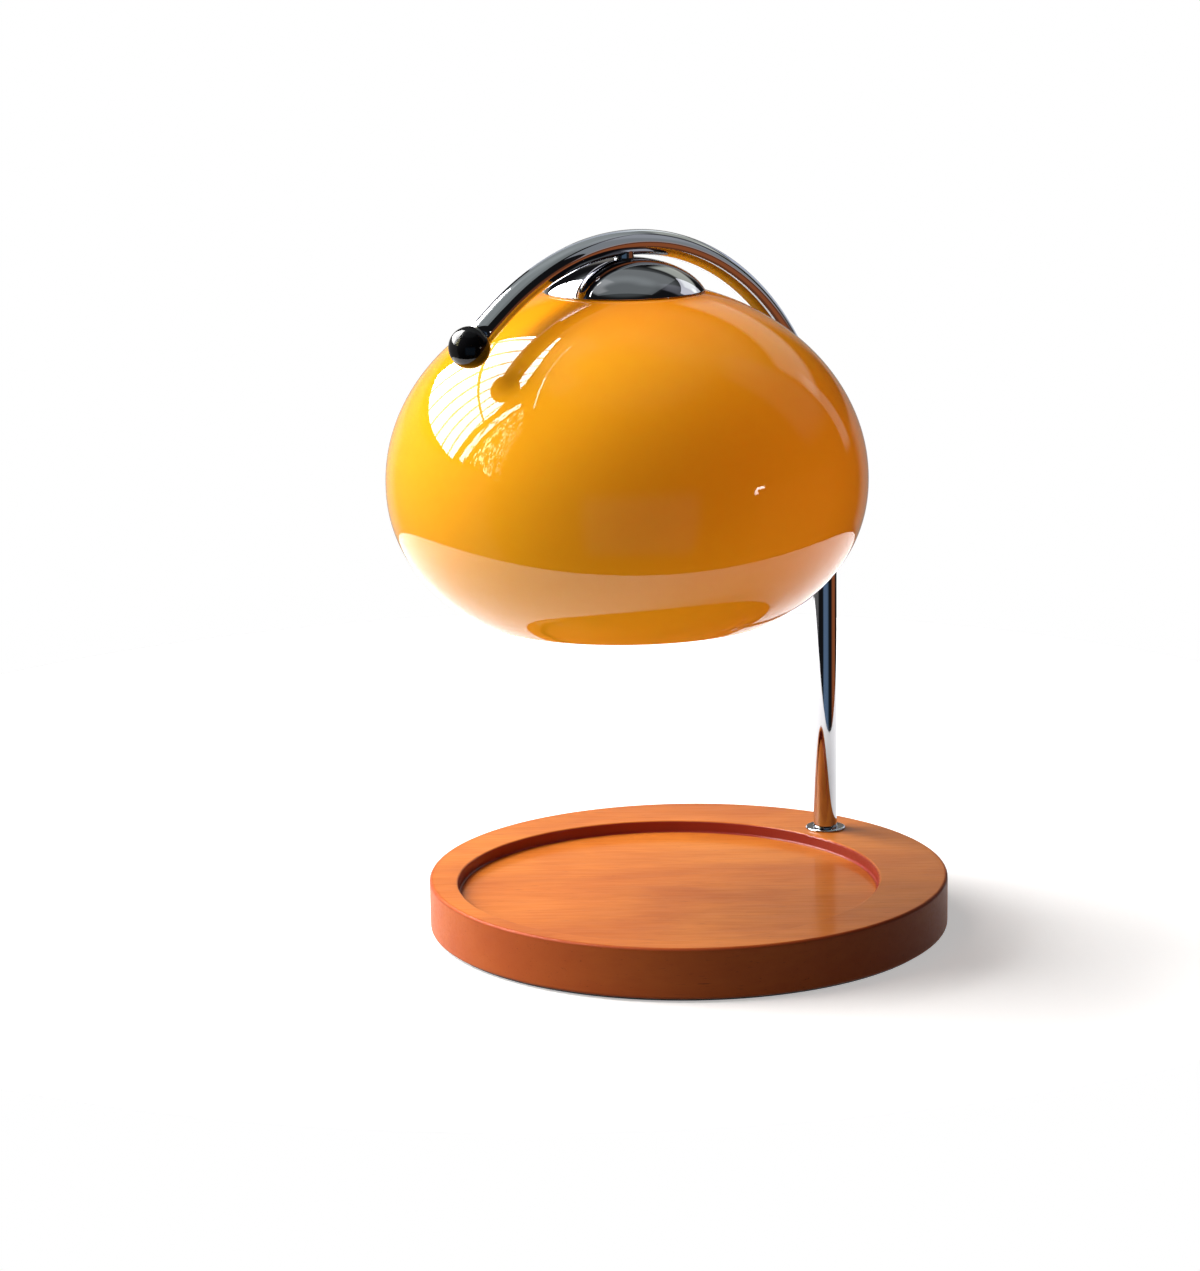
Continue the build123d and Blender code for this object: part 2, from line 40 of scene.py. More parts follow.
# ------------------------------------------------------------------ camera
cam_data = bpy.data.cameras.new("camera")
cam = bpy.data.objects.new("camera", cam_data)
scene.collection.objects.link(cam)
scene.camera = cam
az, el, roll = radians(44.3887), radians(12.2672), radians(-0.9407)
back = Vector((sin(az) * cos(el), -cos(az) * cos(el), sin(el)))
right = Vector((cos(az), sin(az), 0.0))
up = back.cross(right)
target = right * -34.745 * MM + Vector((0, 0, 121.225 * MM))
eye = target + back * 1368.82 * MM
right2 = right * cos(roll) + up * sin(roll)
up2 = right * -sin(roll) + up * cos(roll)
cam.matrix_world = Matrix(
    (
        (right2.x, up2.x, back.x, eye.x),
        (right2.y, up2.y, back.y, eye.y),
        (right2.z, up2.z, back.z, eye.z),
        (0, 0, 0, 1),
    )
)
cam_data.sensor_fit = "AUTO"
cam_data.sensor_width = 36.0
cam_data.lens = 3371.27 / 1271 * 36
cam_data.clip_start, cam_data.clip_end = 0.05, 50.0

# ------------------------------------------------------------------ look of the picture
scene.view_settings.view_transform = "Standard"
scene.view_settings.look = "None"
scene.cycles.use_denoising = True
scene.cycles.max_bounces = 10
scene.cycles.diffuse_bounces = 4
scene.cycles.glossy_bounces = 6
scene.cycles.transmission_bounces = 8
scene.cycles.transparent_max_bounces = 8
scene.cycles.sample_clamp_indirect = 6.0
scene.cycles.caustics_reflective = False
scene.cycles.caustics_refractive = False


# ------------------------------------------------------------------ node helpers
class Mat:
    """A small helper round one node tree."""

    def __init__(self, name):
        self.m = bpy.data.materials.new(name)
        self.m.use_nodes = True
        self.nt = self.m.node_tree
        self.nt.nodes.clear()
        self.out = self.nt.nodes.new("ShaderNodeOutputMaterial")
        self.b = self.nt.nodes.new("ShaderNodeBsdfPrincipled")
        self.nt.links.new(self.b.outputs[0], self.out.inputs["Surface"])
        self.coord = self.nt.nodes.new("ShaderNodeTexCoord").outputs["Object"]

    def new(self, kind, **props):
        n = self.nt.nodes.new("ShaderNode" + kind)
        for k, v in props.items():
            setattr(n, k, v)
        return n

    def link(self, a, b):
        self.nt.links.new(a, b)

    def set(self, **values):
        for k, v in values.items():
            self.b.inputs[k.replace("_", " ")].default_value = v

    def mapping(self, scale=(1, 1, 1), rot=(0, 0, 0), loc=(0, 0, 0), source=None):
        n = self.new("Mapping")
        self.link(source or self.coord, n.inputs["Vector"])
        n.inputs["Scale"].default_value = scale
        n.inputs["Rotation"].default_value = rot
        n.inputs["Location"].default_value = loc
        return n.outputs["Vector"]

    def noise(self, vec, scale, detail=3.0, rough=0.5, distort=0.0):
        n = self.new("TexNoise")
        self.link(vec, n.inputs["Vector"])
        n.inputs["Scale"].default_value = scale
        n.inputs["Detail"].default_value = detail
        n.inputs["Roughness"].default_value = rough
        n.inputs["Distortion"].default_value = distort
        return n.outputs["Fac"]

    def ramp(self, fac, stops, interpolation="LINEAR"):
        n = self.new("ValToRGB")
        self.link(fac, n.inputs["Fac"])
        cr = n.color_ramp
        cr.interpolation = interpolation
        while len(cr.elements) > 1:
            cr.elements.remove(cr.elements[-1])
        cr.elements[0].position, cr.elements[0].color = stops[0][0], (*stops[0][1], 1)
        for p, c in stops[1:]:
            e = cr.elements.new(p)
            e.color = (*c, 1)
        return n.outputs["Color"]

    def span(self, fac, a, b, lo, hi):
        n = self.new("MapRange")
        self.link(fac, n.inputs["Value"])
        n.inputs["From Min"].default_value = a
        n.inputs["From Max"].default_value = b
        n.inputs["To Min"].default_value = lo
        n.inputs["To Max"].default_value = hi
        return n.outputs["Result"]

    def math(self, op, a, b=None, c=None):
        n = self.new("Math", operation=op)
        for i, v in enumerate((a, b, c)):
            if v is None:
                continue
            if isinstance(v, (int, float)):
                n.inputs[i].default_value = v
            else:
                self.link(v, n.inputs[i])
        return n.outputs[0]

    def mix(self, fac, a, b, blend="MIX"):
        n = self.new("Mix", data_type="RGBA", blend_type=blend)
        n.clamp_factor = True
        for sock, v in ((n.inputs[0], fac), (n.inputs[6], a), (n.inputs[7], b)):
            if isinstance(v, (int, float)):
                sock.default_value = v
            elif isinstance(v, tuple):
                sock.default_value = (*v, 1)
            else:
                self.link(v, sock)
        return n.outputs[2]

    def bump(self, height, strength, distance, normal=None):
        n = self.new("Bump")
        self.link(height, n.inputs["Height"])
        n.inputs["Strength"].default_value = strength
        n.inputs["Distance"].default_value = distance
        if normal is not None:
            self.link(normal, n.inputs["Normal"])
        return n.outputs["Normal"]

    def color(self, sock):
        self.link(sock, self.b.inputs["Base Color"])

    def rough(self, sock):
        self.link(sock, self.b.inputs["Roughness"])

    def normal(self, sock):
        self.link(sock, self.b.inputs["Normal"])


# ------------------------------------------------------------------ materials
def amber_glass():
    """Outer layer of the cased glass: even and glossy, with painted shade, a deeper orange, round the hole under the
    dome.
    """
    t = Mat("amber_glass")
    t.set(IOR=1.5, Subsurface_Weight=0.14, Subsurface_Scale=0.008, Coat_Weight=0.10, Coat_Roughness=0.01)
    t.b.inputs["Subsurface Radius"].default_value = (1.0, 0.42, 0.08)
    broad = t.noise(t.mapping((1, 1, 0.6)), 9.0, 3.0, 0.5)
    fine = t.noise(t.mapping((1, 1, 1)), 240.0, 2.0, 0.6)
    c = t.ramp(broad, [(0.3, (0.95, 0.392, 0.0100)), (0.7, (0.97, 0.430, 0.0130))])
    c = t.mix(t.span(fine, 0.35, 0.75, 0.0, 0.10), c, (0.96, 0.50, 0.02))
    sep = t.new("SeparateXYZ")
    t.link(t.coord, sep.inputs[0])
    c = t.mix(t.span(sep.outputs["Z"], 0.245, 0.264, 0.0, 0.70), c, (0.95, 0.275, 0.006))  # painted shade: deeper orange round the hole, under the dome and tube
    t.color(c)
    t.rough(t.span(broad, 0.3, 0.7, 0.006, 0.016))
    wave = t.noise(t.mapping((1, 1, 0.5)), 26.0, 2.0, 0.4)
    t.normal(t.bump(wave, 0.035, 0.004))
    return t.m


def opal_glass():
    t = Mat("opal_glass")
    t.set(IOR=1.5, Subsurface_Weight=0.08, Subsurface_Scale=0.004)
    t.b.inputs["Subsurface Radius"].default_value = (1.0, 0.8, 0.55)
    broad = t.noise(t.mapping((1, 1, 1)), 14.0, 3.0, 0.5)
    t.color(t.ramp(broad, [(0.3, (0.93, 0.88, 0.77)), (0.7, (0.96, 0.92, 0.83))]))
    t.rough(t.span(broad, 0.3, 0.7, 0.16, 0.24))
    t.normal(t.bump(t.noise(t.mapping(), 60.0, 2.0), 0.04, 0.002))
    return t.m


def chrome(name="dark_chrome", tint=(0.49, 0.495, 0.52), rough=(0.018, 0.045)):
    t = Mat(name)
    t.set(Metallic=1.0)
    smear = t.noise(t.mapping((1, 1, 1)), 55.0, 4.0, 0.6, 0.4)
    t.color(t.ramp(smear, [(0.3, tuple(0.96 * v for v in tint)), (0.7, tint)]))
    t.rough(t.span(smear, 0.3, 0.75, rough[0], rough[1]))
    t.normal(t.bump(t.noise(t.mapping(), 70.0, 1.0), 0.012, 0.001))
    return t.m


def steel(name="zinc_steel", tint=(0.56, 0.56, 0.55), rough=(0.28, 0.42)):
    t = Mat(name)
    t.set(Metallic=1.0)
    n1 = t.noise(t.mapping((1, 1, 1)), 420.0, 3.0, 0.6)
    n2 = t.noise(t.mapping((1, 1, 1)), 60.0, 3.0, 0.5)
    t.color(t.mix(t.span(n2, 0.35, 0.7, 0.0, 0.5), tint, tuple(0.8 * v for v in tint)))
    t.rough(t.span(n1, 0.3, 0.7, rough[0], rough[1]))
    t.normal(t.bump(n1, 0.10, 0.0003))
    return t.m


GRAIN = radians(44.0)  # the boards of the foot run this way, in plan


def wood():
    """Stained, satin-lacquered close-grained hardwood, solid through: the same figure runs over top and side."""
    t = Mat("stained_wood")
    v = t.mapping((1, 1, 1), (0, 0, -GRAIN))  # x along the grain, y across it
    # broad, uneven growth figure that wanders along the boards
    drift = t.noise(t.mapping((7, 26, 26), source=v), 1.0, 4.0, 0.55, 0.5)
    figure = t.noise(t.mapping((11, 58, 58), source=v), 1.0, 4.0, 0.56, 1.6)
    # fibres, pores and small dark ticks, drawn out along the grain
    fibre = t.noise(t.mapping((42, 620, 620), source=v), 1.0, 4.0, 0.62)
    tick = t.noise(t.mapping((150, 1500, 1500), source=v), 1.0, 2.0, 0.5)
    cloud = t.noise(t.mapping((17, 24, 24), source=v), 1.0, 3.0, 0.5, 0.6)
    base = t.ramp(drift, [(0.28, (0.470, 0.104, 0.012)), (0.5, (0.600, 0.156, 0.019)), (0.74, (0.730, 0.226, 0.029))])
    c = t.mix(t.span(figure, 0.42, 0.66, 0.0, 0.38), base, (0.43, 0.088, 0.011))
    c = t.mix(t.span(cloud, 0.42, 0.70, 0.0, 0.38), c, (0.80, 0.262, 0.036))
    c = t.mix(t.span(fibre, 0.44, 0.74, 0.0, 0.18), c, (0.38, 0.076, 0.011))
    # painted shade on the turned wall of the recess: darker and redder there
    sep = t.new("SeparateXYZ")
    t.link(t.coord, sep.inputs[0])
    off = t.math("ADD", sep.outputs["Y"], 0.012)
    rad = t.math("SQRT", t.math("ADD", t.math("MULTIPLY", sep.outputs["X"], sep.outputs["X"]), t.math("MULTIPLY", off, off)))
    ring = t.math("MULTIPLY", t.span(rad, 0.0845, 0.0855, 0.0, 1.0), t.span(rad, 0.0862, 0.0872, 1.0, 0.0))
    recess_shade = t.math("MULTIPLY", t.math("MULTIPLY", ring, t.span(sep.outputs["Z"], 0.0215, 0.0210, 0.0, 1.0)), 0.92)
    c = t.mix(recess_shade, c, (0.250, 0.016, 0.017))
    # redder on the edge of the disc, where the figure turns to end grain, and painted shade as a dark line along the
    # arris
    edge = t.math("SQRT", t.math("ADD", t.math("MULTIPLY", sep.outputs["X"], sep.outputs["X"]), t.math("MULTIPLY", sep.outputs["Y"], sep.outputs["Y"])))
    c = t.mix(t.span(edge, 0.1054, 0.1062, 0.0, 0.62), c, (0.56, 0.100, 0.027))
    arris_shade = t.math("MULTIPLY", t.span(edge, 0.1048, 0.1056, 0.0, 1.0), t.span(sep.outputs["Z"], 0.0200, 0.0208, 0.0, 0.55))
    c = t.mix(arris_shade, c, (0.30, 0.035, 0.014))
    c = t.mix(t.span(tick, 0.66, 0.76, 0.0, 0.45), c, (0.22, 0.040, 0.010))
    t.color(c)
    t.set(IOR=1.45, Specular_IOR_Level=0.15, Coat_Roughness=0.13, Coat_IOR=1.45)
    # the lacquer is thin on the edge of the disc
    t.link(t.span(edge, 0.1046, 0.1054, 0.45, 0.06), t.b.inputs["Coat Weight"])
    t.rough(t.span(fibre, 0.3, 0.75, 0.42, 0.56))
    h = t.math("ADD", t.math("MULTIPLY", fibre, 0.6), t.math("MULTIPLY", figure, 0.4))
    t.normal(t.bump(h, 0.08, 0.0003))
    return t.m


def gloss_black():
    t = Mat("black_phenolic")
    n = t.noise(t.mapping(), 160.0, 3.0, 0.5)
    t.color(t.ramp(n, [(0.3, (0.005, 0.005, 0.006)), (0.7, (0.010, 0.010, 0.011))]))
    t.rough(t.span(n, 0.3, 0.7, 0.05, 0.10))
    t.set(IOR=1.46)
    t.normal(t.bump(n, 0.02, 0.0005))
    return t.m


def rubber(name="pad_rubber", low=(0.018, 0.018, 0.019), high=(0.032, 0.031, 0.031), pitch=900.0, depth=0.35):
    t = Mat(name)
    vor = t.new("TexVoronoi", feature="F1")
    t.link(t.mapping(), vor.inputs["Vector"])
    vor.inputs["Scale"].default_value = pitch
    n = t.noise(t.mapping(), 40.0, 4.0, 0.6)
    t.color(t.ramp(n, [(0.3, low), (0.7, high)]))
    t.rough(t.span(n, 0.3, 0.7, 0.62, 0.82))
    t.normal(t.bump(vor.outputs["Distance"], depth, 0.0004))
    return t.m


def powder_coat():
    t = Mat("powder_coat")
    n = t.noise(t.mapping(), 1400.0, 3.0, 0.55)
    m = t.noise(t.mapping(), 30.0, 3.0, 0.5)
    t.color(t.ramp(m, [(0.3, (0.020, 0.020, 0.021)), (0.7, (0.030, 0.030, 0.031))]))
    t.rough(t.span(n, 0.3, 0.7, 0.38, 0.55))
    t.normal(t.bump(n, 0.35, 0.0002))
    return t.m


def ceramic(name="ceramic", low=(0.70, 0.67, 0.60), high=(0.80, 0.77, 0.70), rough=(0.38, 0.55), coat=0.0):
    t = Mat(name)
    n = t.noise(t.mapping(), 90.0, 4.0, 0.6)
    s = t.noise(t.mapping(), 1800.0, 2.0, 0.5)
    c = t.ramp(n, [(0.3, low), (0.7, high)])
    t.color(t.mix(t.span(s, 0.70, 0.80, 0.0, 0.35), c, (0.42, 0.38, 0.32)))
    t.rough(t.span(n, 0.3, 0.7, rough[0], rough[1]))
    t.set(Coat_Weight=coat, Coat_Roughness=0.08)
    t.normal(t.bump(s, 0.08, 0.0003))
    return t.m


def plastic(name, low, high, rough=(0.35, 0.5)):
    t = Mat(name)
    n = t.noise(t.mapping(), 700.0, 3.0, 0.5)
    m = t.noise(t.mapping(), 50.0, 3.0, 0.5)
    t.color(t.ramp(m, [(0.3, low), (0.7, high)]))
    t.rough(t.span(n, 0.3, 0.7, rough[0], rough[1]))
    t.normal(t.bump(n, 0.12, 0.0002))
    return t.m


def clear_glass(name="lens_glass"):
    t = Mat(name)
    t.set(IOR=1.47, Transmission_Weight=0.96)
    n = t.noise(t.mapping(), 45.0, 2.0, 0.5)
    t.color(t.ramp(n, [(0.3, (0.93, 0.95, 0.96)), (0.7, (0.97, 0.98, 0.98))]))
    t.rough(t.span(n, 0.3, 0.7, 0.02, 0.05))
    return t.m


def mirror_coat():
    """Dichroic mirror inside the reflector lamp: bright, faintly warm and cool by patches."""
    t = Mat("dichroic_mirror")
    t.set(Metallic=1.0)
    n = t.noise(t.mapping(), 60.0, 2.0, 0.5)
    t.color(t.ramp(n, [(0.3, (0.78, 0.80, 0.86)), (0.7, (0.88, 0.85, 0.80))]))
    t.rough(t.span(n, 0.3, 0.7, 0.06, 0.12))
    return t.m


M_AMBER, M_OPAL = amber_glass(), opal_glass()
M_CHROME, M_STEEL = chrome(), steel()
M_NECK = chrome("polished_neck", (0.60, 0.60, 0.61), (0.08, 0.14))
M_WOOD, M_BALL = wood(), gloss_black()
M_PAD, M_COVER = rubber(), powder_coat()
M_GLAND = rubber("gland_rubber", (0.014, 0.014, 0.015), (0.026, 0.026, 0.026), 2600.0, 0.15)
M_CERAMIC = ceramic()
M_LAMPBASE = ceramic("glazed_lamp_base", (0.80, 0.79, 0.75), (0.86, 0.85, 0.81), (0.16, 0.24), 0.5)
M_SILICONE = plastic("silicone", (0.62, 0.61, 0.58), (0.72, 0.71, 0.68), (0.4, 0.55))
M_LEAD = plastic("lead_sheath", (0.72, 0.70, 0.64), (0.80, 0.78, 0.72), (0.3, 0.42))
M_TERMINAL = plastic("terminal_plastic", (0.76, 0.75, 0.70), (0.82, 0.81, 0.76))
M_FIBRE = plastic("vulcan_fibre", (0.30, 0.09, 0.04), (0.38, 0.13, 0.06), (0.5, 0.7))
M_PLUG = plastic("plug_plastic", (0.03, 0.03, 0.03), (0.05, 0.05, 0.05))
M_BRASS = steel("brass", (0.72, 0.52, 0.22), (0.18, 0.30))
M_LENS = clear_glass()
M_QUARTZ = clear_glass("quartz")
M_MIRROR = mirror_coat()

NODE_MATERIAL = {
    "wood_base": M_WOOD,
    "base_pad": M_PAD,
    "bottom_cover": M_COVER,
    "cover_screws": M_STEEL,
    "cord_gland": M_GLAND,
    "terminal_block": M_TERMINAL,
    "terminal_sleeves": M_BRASS,
    "terminal_screws": M_STEEL,
    "block_screw": M_STEEL,
    "base_lead": M_LEAD,
    "block_leads": M_LEAD,
    "post_flange": M_CHROME,
    "arm_tube": M_CHROME,
    "friction_washer": M_FIBRE,
    "spring_washer": M_STEEL,
    "base_nut": M_STEEL,
    "ball_finial": M_BALL,
    "finial_stud": M_STEEL,
    "tube_plug": M_PLUG,
    "arm_lead": M_LEAD,
    "hanger_nipple": M_NECK,
    "top_cap": M_CHROME,
    "cap_gasket": M_SILICONE,
    "spacer_collar": M_STEEL,
    "glass_shade": M_AMBER,
    "shade_gasket": M_SILICONE,
    "clamp_plate": M_STEEL,
    "nipple_nut": M_STEEL,
    "holder_bracket": M_STEEL,
    "bracket_nut": M_STEEL,
    "holder_screws": M_STEEL,
    "lamp_holder": M_CERAMIC,
    "holder_back": M_CERAMIC,
    "socket_contacts": M_BRASS,
    "holder_leads": M_LEAD,
    "bulb_base": M_LAMPBASE,
    "bulb_pins": M_STEEL,
    "bulb_reflector": M_MIRROR,
    "bulb_lens": M_LENS,
    "bulb_capsule": M_QUARTZ,
}
for name, ob in NODES.items():
    ob.data.materials.clear()
    ob.data.materials.append(NODE_MATERIAL[name])


# ------------------------------------------------------------------ mesh helpers
def add_mesh(name, verts, faces, mats, face_mat=None, smooth=True):
    me = bpy.data.meshes.new(name)
    me.from_pydata(verts, [], faces)
    me.validate()
    for m in mats:
        me.materials.append(m)
    if face_mat:
        me.polygons.foreach_set("material_index", face_mat)
    me.polygons.foreach_set("use_smooth", [smooth] * len(me.polygons))
    me.update()
    ob = bpy.data.objects.new(name, me)
    scene.collection.objects.link(ob)
    return ob


def lathe(name, rings, segs, centre, mats, closed=True, sharp=()):
    """Turns an outline of (radius, height, material index of the band that follows), in mm, about the vertical
    through centre. Points of radius 0 become poles. Indexes in sharp get a hard edge."""
    cx, cy = centre
    verts, where = [], []
    for r, z, _ in rings:
        if r < 1e-6:
            where.append((len(verts), 1))
            verts.append((cx * MM, cy * MM, z * MM))
        else:
            where.append((len(verts), segs))
            for k in range(segs):
                a = 2 * pi * k / segs
                verts.append(((cx + r * cos(a)) * MM, (cy + r * sin(a)) * MM, z * MM))
    faces, fm = [], []
    n = len(rings)
    for i in range(n if closed else n - 1):
        j = (i + 1) % n
        (a0, na), (b0, nb) = where[i], where[j]
        for k in range(segs):
            k2 = (k + 1) % segs
            if na == 1 and nb == 1:
                break
            if na == 1:
                f = (a0, b0 + k2, b0 + k)
            elif nb == 1:
                f = (a0 + k, a0 + k2, b0)
            else:
                f = (a0 + k, a0 + k2, b0 + k2, b0 + k)
            faces.append(f)
            fm.append(rings[i][2])
    ob = add_mesh(name, verts, faces, mats, fm)
    bm = bmesh.new()
    bm.from_mesh(ob.data)
    bmesh.ops.recalc_face_normals(bm, faces=bm.faces)
    bm.verts.ensure_lookup_table()
    hard = set()
    for i in sharp:
        a0, na = where[i]
        if na > 1:
            hard |= set(range(a0, a0 + na))
    for e in bm.edges:
        if e.verts[0].index in hard and e.verts[1].index in hard and abs(e.verts[0].index - e.verts[1].index) in (1, segs - 1):
            e.smooth = False
    bm.to_mesh(ob.data)
    bm.free()
    return ob


# ------------------------------------------------------------------ glass shade
AXIS = (0.0, -33.0)
SH_A, SH_Z, SH_UP, SH_DN, SH_N = 95.18, 189.6, 78.2, 67.6, 2.15
SH_HOLE, SH_OPEN, GLASS_T = 20.0, 135.7, 2.6


def shade_profile(n_up=72, n_dn=64):
    pts = []
    t0 = asin(SH_HOLE / SH_A)
    for i in range(n_up + 1):
        t = t0 + (pi / 2 - t0) * i / n_up
        r, z = SH_A * sin(t), SH_UP * cos(t)
        pts.append((r, SH_Z + z, r / SH_A**2, z / SH_UP**2))
    tend = asin(((SH_Z - SH_OPEN) / SH_DN) ** (SH_N / 2))
    for i in range(1, n_dn + 1):
        t = tend * i / n_dn
        r = SH_A * cos(t) ** (2 / SH_N)
        z = -SH_DN * sin(t) ** (2 / SH_N)
        pts.append((r, SH_Z + z, (r / SH_A) ** (SH_N - 1) / SH_A, -((-z / SH_DN) ** (SH_N - 1)) / SH_DN))
    out = []
    for r, z, nr, nz in pts:
        k = sqrt(nr * nr + nz * nz)
        out.append((r, z, nr / k, nz / k))
    return out


def build_shade():
    prof = shade_profile()
    rings = [(r, z, 0) for r, z, _, _ in prof]
    inner = [(r - GLASS_T * nr, z - GLASS_T * nz, 1) for r, z, nr, nz in prof]
    r0, z0, nr, nz = prof[-1]
    tx, tz = nz, -nr
    mx, mz = r0 - nr * GLASS_T / 2, z0 - nz * GLASS_T / 2
    rim = []
    for i in range(1, 12):  # fire-polished edge, a half round
        a = pi * i / 12
        q = GLASS_T / 2
        rim.append((mx + q * (nr * cos(a) + tx * sin(a)), mz + q * (nz * cos(a) + tz * sin(a)), 0 if i < 4 else 1))
    rings += rim + inner[::-1]
    rings[len(prof) - 1] = (*rings[len(prof) - 1][:2], 0)
    ob = lathe("shade_glass", rings, 288, AXIS, [M_AMBER, M_OPAL], sharp=(0, len(rings) - 1))
    return ob


shade = build_shade()
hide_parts("glass_shade")
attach(shade, "arm")


# ------------------------------------------------------------------ bent tube
def build_tube():
    post_y, arc_r, arc_z, foot_z = 87.0, 120.0, 162.5, 8.8
    r_out, r_in = 4.98, 4.0
    tail = radians(35.0)
    tail_len = 18.3 - sqrt(64 - 25)
    path = []  # (y, z, direction angle): the tube lies in the plane x = 0
    for i in range(25):
        path.append((post_y, foot_z + (arc_z - foot_z) * i / 24, 0.0))
    n = 132
    for i in range(1, n + 1):
        a = (pi / 2 + tail) * i / n
        path.append((post_y - arc_r + arc_r * cos(a), arc_z + arc_r * sin(a), a))
    y1, z1, a1 = path[-1]
    for i in range(1, 5):
        s = tail_len * i / 4
        path.append((y1 - s * sin(a1), z1 + s * cos(a1), a1))
    segs = 80
    verts, faces = [], []
    edge = 0.25  # small round at both cut ends

    def ring_at(k, rad, shift=0.0):
        y, z, a = path[k]
        y, z = y - shift * sin(a), z + shift * cos(a)
        for s in range(segs):
            t = 2 * pi * s / segs
            u, v = rad * cos(t), rad * sin(t)
            # u along X, v along the outward normal of the bend
            verts.append((u * MM, (y + v * cos(a)) * MM, (z + v * sin(a)) * MM))

    last = len(path) - 1
    order = []
    order.append((0, r_out - edge, 0.0))
    order.append((0, r_out, edge))
    order += [(k, r_out, 0.0) for k in range(1, last)]
    order.append((last, r_out, -edge))
    order.append((last, r_out - edge, 0.0))
    order.append((last, r_in, 0.0))
    order += [(k, r_in, 0.0) for k in range(last - 1, 0, -1)]
    order.append((0, r_in, 0.0))
    for k, rad, sh in order:
        ring_at(k, rad, sh)
    m = len(order)
    for i in range(m):
        j = (i + 1) % m
        for s in range(segs):
            s2 = (s + 1) % segs
            faces.append((i * segs + s, i * segs + s2, j * segs + s2, j * segs + s))
    ob = add_mesh("arch_tube", verts, faces, [M_CHROME])
    bm = bmesh.new()
    bm.from_mesh(ob.data)
    bmesh.ops.recalc_face_normals(bm, faces=bm.faces)
    bm.to_mesh(ob.data)
    bm.free()
    return ob


tube = build_tube()
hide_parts("arm_tube")
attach(tube, "arm")


# ------------------------------------------------------------------ chrome dome
def build_cap():
    """Spun shell: part of an ellipse cut above its widest ring, with a rolled edge."""
    r_rim, z_rim, z_top, bulge, t, hole = 31.5, 264.0, 277.0, 33.2, 0.8, 4.05
    k = sqrt(1 - (r_rim / bulge) ** 2)
    half = (z_top - z_rim) / (1 - k)
    zc = z_top - half

    def at(a, inset):
        return (bulge - inset) * sin(a), zc + (half - inset) * cos(a)

    a_rim = asin(r_rim / bulge)
    a_in = asin((r_rim - 0.62) / (bulge - t))
    n = 64
    rings = []
    a_hole = asin(hole / bulge)
    for i in range(n + 1):
        r, z = at(a_hole + (a_rim - a_hole) * i / n, 0)
        rings.append((r, z, 0))
    r0, z0 = rings[-1][:2]
    r1, z1 = at(a_in, t)
    mr, mz = (r0 + r1) / 2, (z0 + z1) / 2
    ur, uz = (r0 - r1) / 2, (z0 - z1) / 2
    for i in range(1, 8):
        b = pi * i / 8
        rings.append((mr + ur * cos(b), mz + uz * cos(b) - 0.22 * sin(b), 0))
    a_hole = asin(hole / (bulge - t))
    for i in range(n, -1, -1):
        r, z = at(a_hole + (a_in - a_hole) * i / n, t)
        rings.append((r, z, 0))
    return lathe("dome_cap", rings, 256, AXIS, [M_CHROME], sharp=(0, len(rings) - 1))


dome = build_cap()
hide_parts("top_cap")
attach(dome, "arm")


# ------------------------------------------------------------------ ball end
def build_ball():
    R, flat_r = 7.98, 5.0
    tail = radians(35.0)
    cy, cz, arc = -33.0, 162.5, 120.0
    y = cy - arc * sin(tail) - 18.3 * cos(tail)
    z = cz + arc * cos(tail) - 18.3 * sin(tail)
    axis = Vector((0, cos(tail), sin(tail)))  # from the ball towards the tube
    side = Vector((1, 0, 0))
    third = axis.cross(side)
    centre = Vector((0, y, z))
    a0 = asin(flat_r / R)
    outline = [(0.0, R * cos(a0)), (flat_r - 0.3, R * cos(a0))]
    n = 56
    for i in range(n):
        a = a0 + 0.02 + (pi - a0 - 0.02) * i / n
        outline.append((R * sin(a), R * cos(a)))
    outline.append((0.0, -R))
    segs = 96
    verts, faces, where = [], [], []
    for r, h in outline:
        if r < 1e-6:
            where.append((len(verts), 1))
            p = centre + axis * h
            verts.append(tuple(p * MM))
        else:
            where.append((len(verts), segs))
            for s in range(segs):
                t = 2 * pi * s / segs
                p = centre + axis * h + side * (r * cos(t)) + third * (r * sin(t))
                verts.append(tuple(p * MM))
    for i in range(len(outline) - 1):
        (a, na), (b, nb) = where[i], where[i + 1]
        for s in range(segs):
            s2 = (s + 1) % segs
            if na == 1:
                faces.append((a, b + s2, b + s))
            elif nb == 1:
                faces.append((a + s, a + s2, b))
            else:
                faces.append((a + s, a + s2, b + s2, b + s))
    ob = add_mesh("ball_end", verts, faces, [M_BALL])
    bm = bmesh.new()
    bm.from_mesh(ob.data)
    bmesh.ops.recalc_face_normals(bm, faces=bm.faces)
    bm.to_mesh(ob.data)
    bm.free()
    return ob


ball = build_ball()
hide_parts("ball_finial")
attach(ball, "arm")


# ------------------------------------------------------------------ flange at the post's foot
def build_flange():
    r_in, r_out, z0, h = 5.0, 8.5, 21.5, 1.0
    rings = [(r_in, z0, 0), (r_out - 0.12, z0, 0), (r_out, z0 + 0.12, 0), (r_out, z0 + 0.35, 0)]
    for i in range(1, 13):
        a = pi / 2 * i / 12
        rings.append((r_out - 0.95 + 0.95 * cos(a), z0 + 0.35 + 0.65 * sin(a), 0))
    rings += [(r_in + 0.25, z0 + h, 0), (r_in, z0 + h - 0.15, 0)]
    return lathe("foot_flange", rings, 160, (0.0, 87.0), [M_CHROME], sharp=(0,))


flange = build_flange()
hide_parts("post_flange")
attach(flange, "arm")

